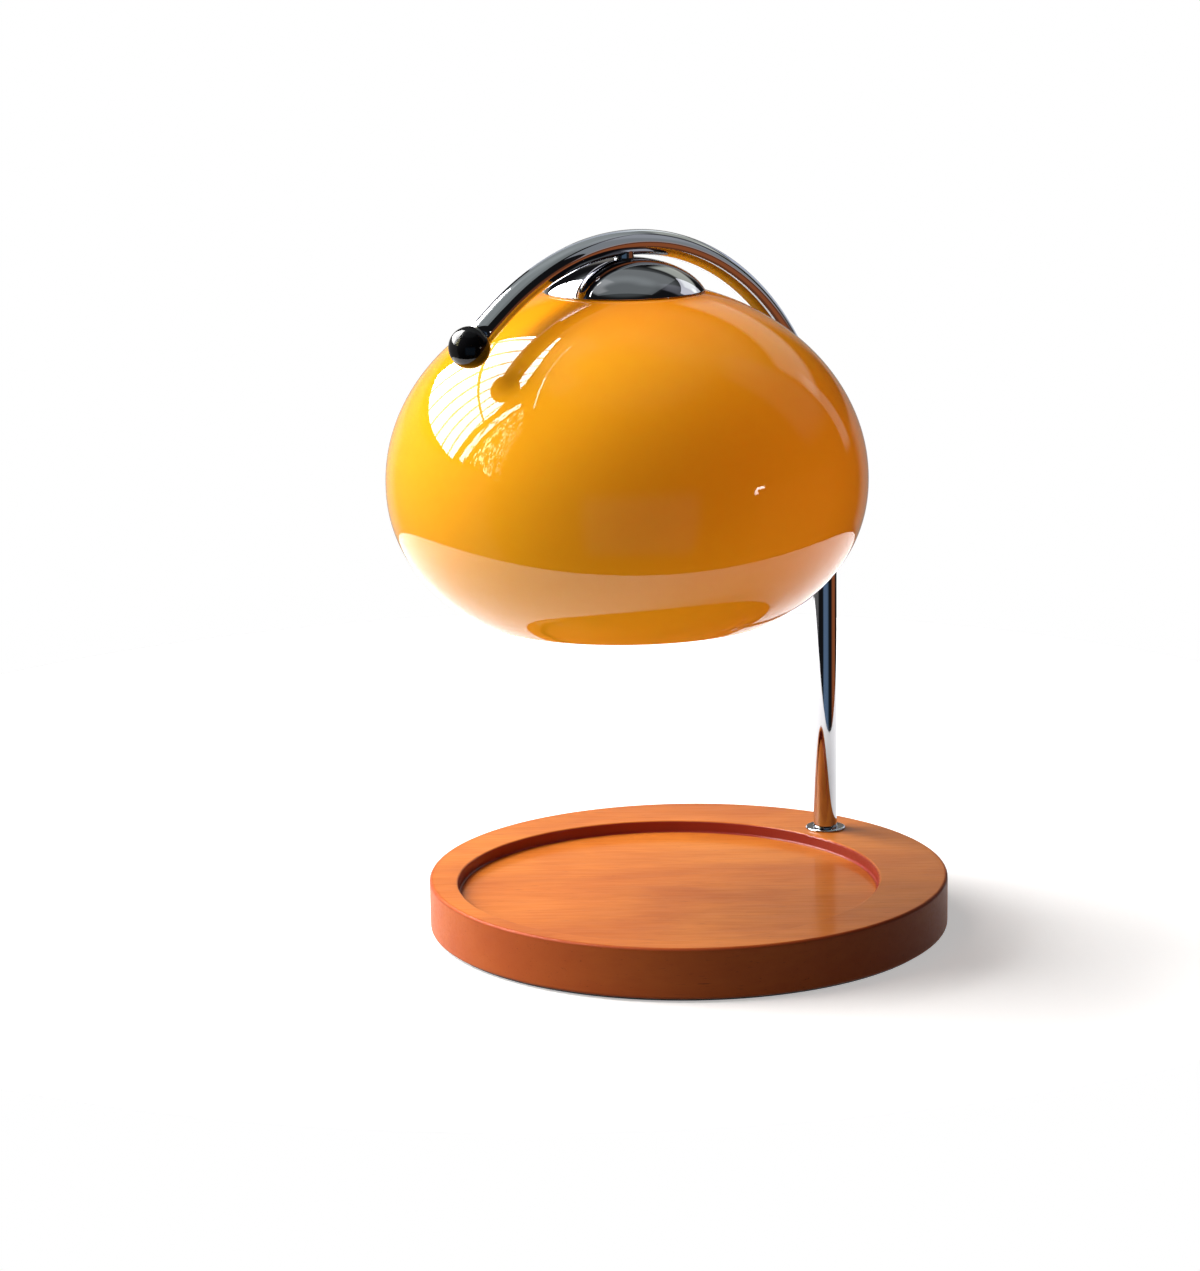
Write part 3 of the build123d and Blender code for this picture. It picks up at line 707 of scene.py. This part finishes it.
# ------------------------------------------------------------------ floor, world and lights
FLOOR_C, FLOOR_R = (-0.165, 0.105), 0.433
AMBIENT = (0.046, 0.040, 0.038)  # soft light of the room on everything that isn't gloss
KEY = 8.9
FILL, FILL_COL = 1.25, (1.0, 0.56, 0.38)
floor_mat = Mat("floor_white")
fn = floor_mat.noise(floor_mat.mapping(), 3.0, 2.0, 0.5)
floor_mat.color(floor_mat.ramp(fn, [(0.3, (0.80, 0.80, 0.80)), (0.7, (0.83, 0.83, 0.83))]))
floor_mat.set(Roughness=0.9, Specular_IOR_Level=0.1)
# painted light: the floor glows, dimmer round the lamp (0.45) and brighter from 0.36 m out (0.85), so its shadow
# fades away from the foot
glow_dist = floor_mat.new("VectorMath", operation="LENGTH")
floor_mat.link(floor_mat.coord, glow_dist.inputs[0])
floor_mat.link(floor_mat.span(glow_dist.outputs["Value"], 0.13, 0.36, 0.45, 0.85), floor_mat.b.inputs["Emission Strength"])
floor_mat.b.inputs["Emission Color"].default_value = (1.0, 0.99, 0.985, 1.0)
# clear from below, so that the underside of the lamp can be looked at
floor_back, floor_clear, floor_mix = floor_mat.new("NewGeometry"), floor_mat.new("BsdfTransparent"), floor_mat.new("MixShader")
floor_mat.link(floor_back.outputs["Backfacing"], floor_mix.inputs["Fac"])
floor_mat.link(floor_mat.b.outputs[0], floor_mix.inputs[1])
floor_mat.link(floor_clear.outputs[0], floor_mix.inputs[2])
floor_mat.link(floor_mix.outputs[0], floor_mat.out.inputs["Surface"])
segs = 160
FLOOR_Z = -0.0002  # just under the pad, so the two faces don't lie in one plane
fv = [(*FLOOR_C, FLOOR_Z)] + [
    (FLOOR_C[0] + FLOOR_R * cos(2 * pi * k / segs), FLOOR_C[1] + FLOOR_R * sin(2 * pi * k / segs), FLOOR_Z) for k in range(segs)
]
ff = [(0, 1 + k, 1 + (k + 1) % segs) for k in range(segs)]
floor = add_mesh("floor", fv, ff, [floor_mat.m], smooth=False)
floor.visible_shadow = False
floor.visible_diffuse = False  # the floor doesn't brighten the underside and the sides of the foot

world = bpy.data.worlds.new("world")
scene.world = world
world.use_nodes = True
wn = world.node_tree
wn.nodes.clear()


def wnode(kind, **props):
    n = wn.nodes.new("ShaderNode" + kind)
    for k, v in props.items():
        setattr(n, k, v)
    return n


def wmath(op, a, b=None, c=None):
    n = wnode("Math", operation=op)
    for i, v in enumerate((a, b, c)):
        if v is None:
            continue
        if isinstance(v, (int, float)):
            n.inputs[i].default_value = v
        else:
            wn.links.new(v, n.inputs[i])
    return n.outputs[0]


def wstep(value, a, b):
    """0 below a, 1 above b, smooth between; a may be the larger."""
    n = wnode("MapRange", interpolation_type="SMOOTHSTEP")
    wn.links.new(value, n.inputs["Value"])
    lo, hi, y0, y1 = (a, b, 0.0, 1.0) if a < b else (b, a, 1.0, 0.0)
    n.inputs["From Min"].default_value, n.inputs["From Max"].default_value = lo, hi
    n.inputs["To Min"].default_value, n.inputs["To Max"].default_value = y0, y1
    return n.outputs["Result"]


w_coord = wnode("TexCoord")
w_sep = wnode("SeparateXYZ")
wn.links.new(w_coord.outputs["Generated"], w_sep.inputs[0])
# azimuth from -Y towards +X and elevation of the direction looked in, in degrees
w_az = wmath("DEGREES", wmath("ARCTAN2", w_sep.outputs["X"], wmath("MULTIPLY", w_sep.outputs["Y"], -1.0)))
w_el = wmath("DEGREES", wmath("ARCSINE", w_sep.outputs["Z"]))

# the walls of the room as the gloss shows them: (centre azimuth, half width, soft edge), (elevation from, to, soft), colour
ROOM = [
    ((-75, 50, 12), (-40, 13, 4), (0.18, 0.175, 0.17)),  # wall under the window
    ((-112, 14, 8), (-20, 12, 5), (0.06, 0.06, 0.058)),
    ((-66, 46, 10), (62, 74, 6), (0.22, 0.215, 0.21)),  # above the window
    ((-138, 62, 40), (42, 76, 14), (0.14, 0.15, 0.15)),  # light upper wall behind
    ((0, 200, 1), (62, 95, 12), (0.09, 0.10, 0.10)),  # ceiling
    ((-166, 19, 5), (20, 36, 4), (0.58, 0.61, 0.55)),  # light wall at the rear
    ((178, 4, 2), (3, 26, 5), (0.45, 0.47, 0.42)),
    ((158, 14, 8), (18, 58, 12), (0.13, 0.13, 0.15)),
    ((-136, 17, 8), (3, 22, 8), (0.21, 0.20, 0.18)),  # rear wall, low
    ((-136, 34, 12), (-17, 3, 3), (0.26, 0.25, 0.22)),  # pale floor far behind
    ((50, 27, 8), (-34, 6, 14), (0.055, 0.105, 0.17)),  # dim doorway in front, to the right
    ((133, 25, 6), (-50, 4, 6), (0.20, 0.055, 0.015)),  # timber cupboard at the right
]
total = None
for (a0, half, soft), (e0, e1, es), col in ROOM:
    rel = wmath("ABSOLUTE", wmath("WRAP", wmath("SUBTRACT", w_az, float(a0)), 180.0, -180.0))
    wa = wstep(rel, half + soft / 2, half - soft / 2)
    we = wmath("MULTIPLY", wstep(w_el, e0 - es / 2, e0 + es / 2), wstep(w_el, e1 + es / 2, e1 - es / 2))
    k = wmath("MULTIPLY", wa, we)
    n = wnode("VectorMath", operation="SCALE")
    n.inputs[0].default_value = col
    wn.links.new(k, n.inputs["Scale"])
    if total is None:
        total = n.outputs[0]
    else:
        add = wnode("VectorMath", operation="ADD")
        wn.links.new(total, add.inputs[0])
        wn.links.new(n.outputs[0], add.inputs[1])
        total = add.outputs[0]
base_add = wnode("VectorMath", operation="ADD")
wn.links.new(total, base_add.inputs[0])
base_add.inputs[1].default_value = (0.012, 0.012, 0.013)

w_out = wnode("OutputWorld")
w_path = wnode("LightPath")
w_cam = wnode("Background")
w_cam.inputs["Color"].default_value = (1, 1, 1, 1)
w_room = wnode("Background")
wn.links.new(base_add.outputs[0], w_room.inputs["Color"])
w_soft = wnode("Background")
w_soft.inputs["Color"].default_value = (*AMBIENT, 1)
w_mix1, w_mix2 = wnode("MixShader"), wnode("MixShader")
wn.links.new(w_path.outputs["Is Glossy Ray"], w_mix1.inputs["Fac"])
wn.links.new(w_soft.outputs[0], w_mix1.inputs[1])
wn.links.new(w_room.outputs[0], w_mix1.inputs[2])
wn.links.new(w_path.outputs["Is Camera Ray"], w_mix2.inputs["Fac"])
wn.links.new(w_mix1.outputs[0], w_mix2.inputs[1])
wn.links.new(w_cam.outputs[0], w_mix2.inputs[2])
wn.links.new(w_mix2.outputs[0], w_out.inputs["Surface"])


def glow_sheet(name, corners, build):
    """A flat light between its corners, in metres, seen in gloss only; build sets its colour and strength."""
    m = bpy.data.materials.new(name)
    m.use_nodes = True
    t = Mat.__new__(Mat)
    t.m, t.nt = m, m.node_tree
    t.nt.nodes.clear()
    t.out = t.nt.nodes.new("ShaderNodeOutputMaterial")
    t.coord = t.nt.nodes.new("ShaderNodeTexCoord").outputs["Object"]
    em = t.nt.nodes.new("ShaderNodeEmission")
    t.nt.links.new(em.outputs[0], t.out.inputs["Surface"])
    build(t, em)
    ob = add_mesh(name, corners, [tuple(range(len(corners)))], [m], smooth=False)
    ob.visible_camera = False
    ob.visible_diffuse = False
    ob.visible_shadow = False
    return ob


WX = -0.90  # the window wall
WINDOW = 20.0


def window_light(t, em):
    sep = t.new("SeparateXYZ")
    t.link(t.coord, sep.inputs[0])
    y, z = sep.outputs["Y"], sep.outputs["Z"]
    # thin uprights every 0.15 m and one rail, none of them quite plumb
    lean = t.math("MULTIPLY_ADD", z, 0.06, y)
    f = t.math("FRACT", t.math("DIVIDE", t.math("ADD", lean, 10.70), 0.150))
    line = t.math("LESS_THAN", t.math("ABSOLUTE", t.math("SUBTRACT", f, 0.5)), 0.085)
    rail = t.math("LESS_THAN", t.math("ABSOLUTE", t.math("SUBTRACT", z, t.math("MULTIPLY_ADD", y, -0.185, 0.932))), 0.016)
    k = t.math("SUBTRACT", 1.0, t.math("MULTIPLY", line, 0.84))
    k = t.math("MULTIPLY", k, t.math("SUBTRACT", 1.0, t.math("MULTIPLY", rail, 0.97)))
    em.inputs["Color"].default_value = (1.0, 0.99, 0.975, 1)
    t.link(t.math("MULTIPLY", k, WINDOW), em.inputs["Strength"])


PANE = [(0.13, 0.50), (0.15, 1.82), (-0.15, 1.92), (-0.34, 1.98), (-0.57, 1.99), (-0.76, 1.95), (-0.90, 1.75), (-1.02, 1.35), (-0.86, 0.50)]
glow_sheet("window_pane", [(WX, y, z) for y, z in PANE], window_light)


def far_light(t, em):
    n = t.noise(t.mapping((1.0, 5.0, 5.0)), 1.0, 2.0, 0.5)
    em.inputs["Color"].default_value = (1.0, 0.97, 0.90, 1)
    t.link(t.span(n, 0.35, 0.65, 3.0, 7.0), em.inputs["Strength"])


def slit_light(t, em):
    n = t.noise(t.mapping((1.0, 2.0, 2.0)), 1.0, 2.0, 0.5)
    em.inputs["Color"].default_value = (1.0, 0.99, 0.98, 1)
    t.link(t.span(n, 0.3, 0.7, 11.0, 13.0), em.inputs["Strength"])


glow_sheet("top_pane", [(WX, -0.80, 2.55), (WX, -0.80, 2.62), (WX, -2.0, 3.04), (WX, -2.0, 2.96)], slit_light)
glow_sheet("top_pane_far", [(WX, 0.05, 2.34), (WX, 0.05, 2.37), (WX, -0.78, 2.60), (WX, -0.78, 2.56)], far_light)


def side_light(t, em):
    n = t.noise(t.mapping((1.0, 12.0, 6.0)), 1.0, 3.0, 0.6, 0.3)
    em.inputs["Color"].default_value = (1.0, 0.99, 0.98, 1)
    t.link(t.span(n, 0.43, 0.47, 0.6, 15.0), em.inputs["Strength"])


glow_sheet("side_pane", [(WX, -0.985, 0.55), (WX, -1.30, 2.10), (WX, -1.44, 2.10), (WX, -1.12, 0.55)], side_light)


def garden_light(t, em):
    """What shows through the farthest panes: leaves and sky, broken up fine."""
    n = t.noise(t.mapping((1.0, 4.6, 2.6)), 1.0, 3.0, 0.6, 0.4)
    m = t.noise(t.mapping((1.0, 15.0, 8.0)), 1.0, 2.0, 0.5, 0.5)
    sep = t.new("SeparateXYZ")
    t.link(t.coord, sep.inputs[0])
    fade = t.span(sep.outputs["Y"], -2.9, -1.5, 0.0, 1.0)
    k = t.math("MULTIPLY", t.span(n, 0.45, 0.49, 0.0, 1.0), t.span(m, 0.51, 0.54, 0.0, 1.0))
    em.inputs["Color"].default_value = (1.0, 0.93, 0.52, 1)
    t.link(t.math("MULTIPLY", t.math("MULTIPLY_ADD", k, 13.0, 0.3), fade), em.inputs["Strength"])


glow_sheet("garden_pane", [(WX, -1.25, 0.62), (WX, -1.58, 2.35), (WX, -2.95, 2.60), (WX, -2.9, 0.70)], garden_light)


def panel(name, azimuth, elevation, dist, w, h, radiance, color=(1, 1, 1), at=(0, -0.03, 0.15), glossy=True, diffuse=True, only=None):
    """A soft box: azimuth from -Y towards +X, in degrees, facing the lamp."""
    a, e = radians(azimuth), radians(elevation)
    d = Vector((sin(a) * cos(e), -cos(a) * cos(e), sin(e)))
    ld = bpy.data.lights.new(name, "AREA")
    ld.shape = "RECTANGLE"
    ld.size, ld.size_y = w, h
    ld.energy = radiance * pi * w * h
    ld.color = color
    ob = bpy.data.objects.new(name, ld)
    scene.collection.objects.link(ob)
    ob.location = Vector(at) + d * dist
    ob.rotation_mode = "QUATERNION"
    ob.rotation_quaternion = d.to_track_quat("Z", "Y")
    ob.visible_camera = False
    ob.visible_glossy = glossy
    ob.visible_diffuse = diffuse
    if only is not None:
        ob.light_linking.receiver_collection = only
    return ob


# the window's light on everything that isn't gloss
key = panel("window_key", -62, 40, 1.5, 1.5, 1.5, KEY, (1.0, 0.985, 0.965), glossy=False)
# small bright spot low at the right, seen in gloss only
panel("spot_bar", 107.6, 5.2, 2.2, 0.17, 0.045, 16.0, (1.0, 0.98, 0.95), diffuse=False)
panel("spot_leg", 105.2, 3.2, 2.2, 0.075, 0.10, 11.0, (1.0, 0.98, 0.95), diffuse=False)
# a pale panel behind, seen by the cap alone
cap_only = bpy.data.collections.new("cap_gloss")
cap_only.objects.link(dome)
panel("cap_gloss_panel", 172, 28, 2.2, 1.3, 1.1, 1.0, (0.93, 0.93, 1.0), diffuse=False, only=cap_only)
panel("cap_gloss_top", -135, 78, 1.8, 2.0, 2.0, 0.14, (0.93, 1.0, 1.0), diffuse=False, only=cap_only)
# the same for the bent tube: soft boxes behind to the left and right, and overhead
tube_only = bpy.data.collections.new("tube_gloss")
tube_only.objects.link(tube)
tube_only.objects.link(flange)
panel("tube_gloss_left", -116, 2, 2.0, 1.0, 1.0, 1.55, (0.94, 0.94, 1.0), diffuse=False, only=tube_only)
panel("tube_gloss_rear", -142, -9, 2.4, 0.9, 0.5, 1.3, (0.93, 0.94, 1.0), diffuse=False, only=tube_only)
panel("tube_gloss_right", -166, 8, 2.0, 0.9, 0.9, 0.85, (0.74, 0.80, 1.0), diffuse=False, only=tube_only)
panel("tube_gloss_top", -135, 82, 1.8, 3.0, 2.7, 0.34, (0.90, 1.0, 0.98), diffuse=False, only=tube_only)
panel("tube_gloss_arch", -138, 33, 2.2, 1.3, 0.9, 0.75, (0.85, 0.92, 1.0), diffuse=False, only=tube_only)
panel("tube_gloss_crown", 146, 24, 2.0, 1.1, 1.5, 0.40, (0.88, 0.95, 1.0), diffuse=False, only=tube_only)
panel("tube_gloss_door", 50, -13, 2.0, 1.45, 0.72, 0.19, (0.42, 0.62, 1.0), diffuse=False, only=tube_only)
panel("tube_gloss_timber", 136, -13, 2.0, 1.1, 0.7, 0.22, (1.0, 0.26, 0.07), diffuse=False, only=tube_only)
# soft boxes for the wood alone: its gloss behind, and the light of the room in front
wood_only = bpy.data.collections.new("wood_fill")
wood_only.objects.link(NODES["wood_base"])
panel("wood_gloss_rear", -136, 15, 2.4, 1.9, 1.0, 0.33, (1.0, 0.93, 0.72), diffuse=False, only=wood_only)
panel("wood_fill_front", 6, 25, 1.2, 1.0, 0.8, 1.10, (1.0, 0.92, 0.86), glossy=False, only=wood_only)
# warm soft boxes for the shade alone
shade_only = bpy.data.collections.new("shade_fill")
shade_only.objects.link(shade)
panel("shade_fill_front", 25, -4, 1.3, 1.6, 1.2, FILL * 0.42, FILL_COL, glossy=False, only=shade_only)
panel("shade_fill_right", 118, 8, 1.3, 1.4, 1.2, FILL * 1.65, FILL_COL, glossy=False, only=shade_only)
panel("shade_fill_top", -42, 62, 1.3, 1.2, 1.2, FILL * 0.44, (1.0, 0.90, 0.66), glossy=False, only=shade_only)
panel("shade_fill_below", -25, -60, 1.0, 1.3, 1.3, FILL * 1.26, (1.0, 0.98, 0.88), glossy=False, only=shade_only)

# light on what faces down: the pad, the cover and the parts inside the shade
under_only = bpy.data.collections.new("under_fill")
for name, ob in NODES.items():
    if name not in ("wood_base", "hanger_nipple", "arm_tube", "top_cap", "glass_shade", "ball_finial", "post_flange"):
        under_only.objects.link(ob)
panel("under_fill", -20, -68, 1.1, 1.5, 1.5, 1.5, (1.0, 0.99, 0.97), only=under_only)

# ------------------------------------------------------------------ update the view layer
bpy.context.view_layer.update()
